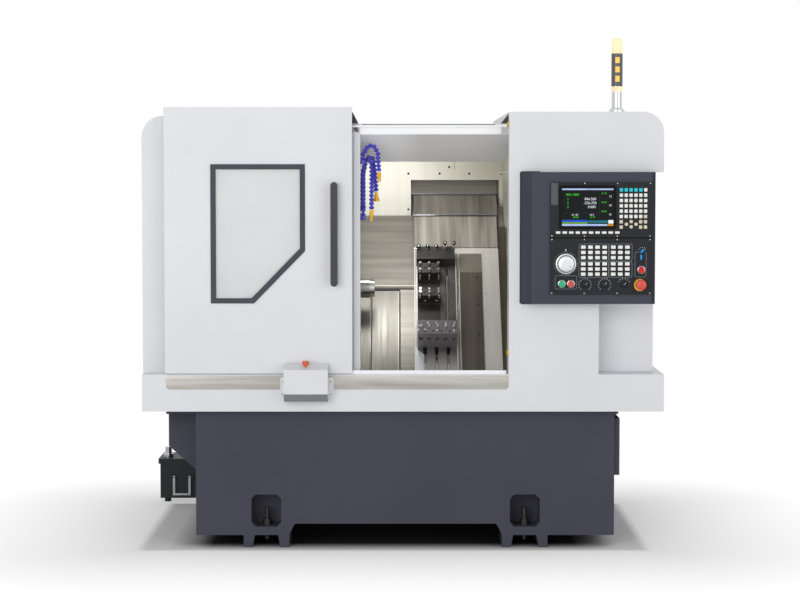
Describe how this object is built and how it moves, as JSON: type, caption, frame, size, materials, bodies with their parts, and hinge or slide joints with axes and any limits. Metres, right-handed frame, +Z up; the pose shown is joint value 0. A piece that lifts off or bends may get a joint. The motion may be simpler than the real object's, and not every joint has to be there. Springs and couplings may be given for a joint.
{
  "type": "cnc turning lathe",
  "caption": "Slant-bed turning lathe with a gang tool slide in a sheet-metal enclosure with sliding door, control panel and coolant tank.",
  "frame": {"origin": "on the floor under the middle of the overall box", "axes": "+X to the machine's right as seen from the front, +Y from the front to the back, +Z up"},
  "size_m": [2.066, 1.493, 1.965],
  "materials": {
    "painted_white": "satin",
    "painted_slate": "satin",
    "painted_black": "satin",
    "tank_paint": "satin",
    "stainless": "satin",
    "ground_steel": "satin",
    "cast_iron": "matt",
    "chrome": "polished",
    "black_plastic": "matt",
    "black_rubber": "matt",
    "yellow_rubber": "matt",
    "blue_plastic": "satin",
    "yellow_plastic": "satin",
    "orange_plastic": "satin",
    "red_plastic": "satin",
    "green_plastic": "satin",
    "white_plastic": "satin",
    "amber_plastic": "satin",
    "window_glass": "polished"
  },
  "bodies": {
    "frame": {"base_casting": "painted_slate", "base_feet": "painted_slate", "levelling_bolts": "black_plastic", "slant_bed": "cast_iron", "z_rails": "ground_steel", "apron": "painted_white", "sill_strip": "stainless", "left_housing": "painted_white", "right_housing": "painted_white", "rear_cover": "painted_white", "roof_panel": "painted_white", "notch_trims": "painted_black", "header_beam": "painted_white", "header_panel": "painted_white", "door_rails": "painted_black", "door_jamb": "painted_white", "inner_walls": "stainless", "door_bumpers": "yellow_rubber", "headstock": "cast_iron", "spindle_motor": "painted_black", "drive_belt": "black_rubber", "z_cover_left": "stainless", "coolant_hoses": "blue_plastic", "coolant_nozzles": "yellow_plastic", "button_box": "painted_white", "control_box": "painted_slate", "panel_units": "black_plastic", "panel_keys": "white_plastic", "tower_pole": "chrome", "tower_sleeve": "black_plastic", "tower_dome": "amber_plastic", "coolant_tank": "tank_paint", "tank_fitting": "chrome"},
    "door": {"door_panel": "painted_white", "window_seal": "painted_slate", "window_glass": "window_glass", "door_handle": "black_plastic"},
    "spindle_unit": {"spindle": "ground_steel"},
    "motor_wheel": {"motor_pulley": "ground_steel"},
    "carriage": {"saddle": "cast_iron", "rear_shield": "stainless", "carriage_covers": "stainless"},
    "z_cover": {"z_cover_middle": "stainless"},
    "cross_slide": {"slide_plate": "stainless", "gang_table": "cast_iron", "tool_blocks": "cast_iron", "clamp_screws": "chrome", "slide_covers": "stainless", "x_cover_low": "stainless"},
    "x_cover": {"x_cover_middle": "stainless"},
    "tank_bail": {"tank_handle": "tank_paint"},
    "estop_cap": {"estop": "red_plastic"},
    "start_cap": {"start_button": "green_plastic"},
    "stop_cap": {"stop_button": "red_plastic"},
    "power_cap": {"power_button": "red_plastic"},
    "box_cap": {"box_button": "orange_plastic"},
    "pulse_wheel": {"handwheel": "white_plastic"},
    "selector_a": {"selector_left": "black_plastic"},
    "selector_b": {"selector_middle": "black_plastic"},
    "selector_c": {"selector_right": "black_plastic"}
  },
  "joints": [
    {"name": "door_slide", "type": "slide", "parent": "frame", "child": "door", "axis": [1, 0, 0], "range_m": [0, 0.59]},
    {"name": "spindle_spin", "type": "hinge", "parent": "frame", "child": "spindle_unit", "pos_m": [-0.363, -0.1546, 0.97668], "axis": [1, 0, 0], "continuous": true},
    {"name": "motor_spin", "type": "hinge", "parent": "frame", "child": "motor_wheel", "pos_m": [-0.663, -0.31158, 0.74192], "axis": [1, 0, 0], "continuous": true},
    {"name": "z_slide", "type": "slide", "parent": "frame", "child": "carriage", "axis": [1, 0, 0], "range_m": [-0.15, 0]},
    {"name": "z_cover_slide", "type": "slide", "parent": "frame", "child": "z_cover", "axis": [1, 0, 0], "range_m": [-0.1125, 0]},
    {"name": "x_slide", "type": "slide", "parent": "carriage", "child": "cross_slide", "axis": [0, 0.7071, 0.7071], "range_m": [-0.04, 0.12]},
    {"name": "x_cover_slide", "type": "slide", "parent": "carriage", "child": "x_cover", "axis": [0, 0.7071, 0.7071], "range_m": [-0.02, 0.06]},
    {"name": "tank_bail_hinge", "type": "hinge", "parent": "frame", "child": "tank_bail", "pos_m": [-0.931, 0.5165, 0.11], "axis": [-1, 0, 0], "range_deg": [0, 95]},
    {"name": "estop_press", "type": "slide", "parent": "frame", "child": "estop_cap", "axis": [0, 1, 0], "range_m": [0, 0.004], "stiffness_N_per_m": 400},
    {"name": "start_press", "type": "slide", "parent": "frame", "child": "start_cap", "axis": [0, 1, 0], "range_m": [0, 0.004], "stiffness_N_per_m": 400},
    {"name": "stop_press", "type": "slide", "parent": "frame", "child": "stop_cap", "axis": [0, 1, 0], "range_m": [0, 0.004], "stiffness_N_per_m": 400},
    {"name": "power_press", "type": "slide", "parent": "frame", "child": "power_cap", "axis": [0, 1, 0], "range_m": [0, 0.004], "stiffness_N_per_m": 400},
    {"name": "box_button_press", "type": "slide", "parent": "frame", "child": "box_cap", "axis": [0, 0, -1], "range_m": [0, 0.002], "stiffness_N_per_m": 400},
    {"name": "pulse_wheel_spin", "type": "hinge", "parent": "frame", "child": "pulse_wheel", "pos_m": [0.651, -0.7235, 1.097], "axis": [0, 1, 0], "continuous": true},
    {"name": "selector_left_turn", "type": "hinge", "parent": "frame", "child": "selector_a", "pos_m": [0.724, -0.7235, 1.018], "axis": [0, 1, 0], "range_deg": [-120, 120]},
    {"name": "selector_middle_turn", "type": "hinge", "parent": "frame", "child": "selector_b", "pos_m": [0.798, -0.7235, 1.018], "axis": [0, 1, 0], "range_deg": [-120, 120]},
    {"name": "selector_right_turn", "type": "hinge", "parent": "frame", "child": "selector_c", "pos_m": [0.871, -0.7235, 1.018], "axis": [0, 1, 0], "range_deg": [-120, 120]}
  ],
  "couplings": [
    {"joint": "motor_spin", "follows": "spindle_spin", "ratio": 1.6667},
    {"joint": "z_cover_slide", "follows": "z_slide", "ratio": 0.75},
    {"joint": "x_cover_slide", "follows": "x_slide", "ratio": 0.5}
  ]
}
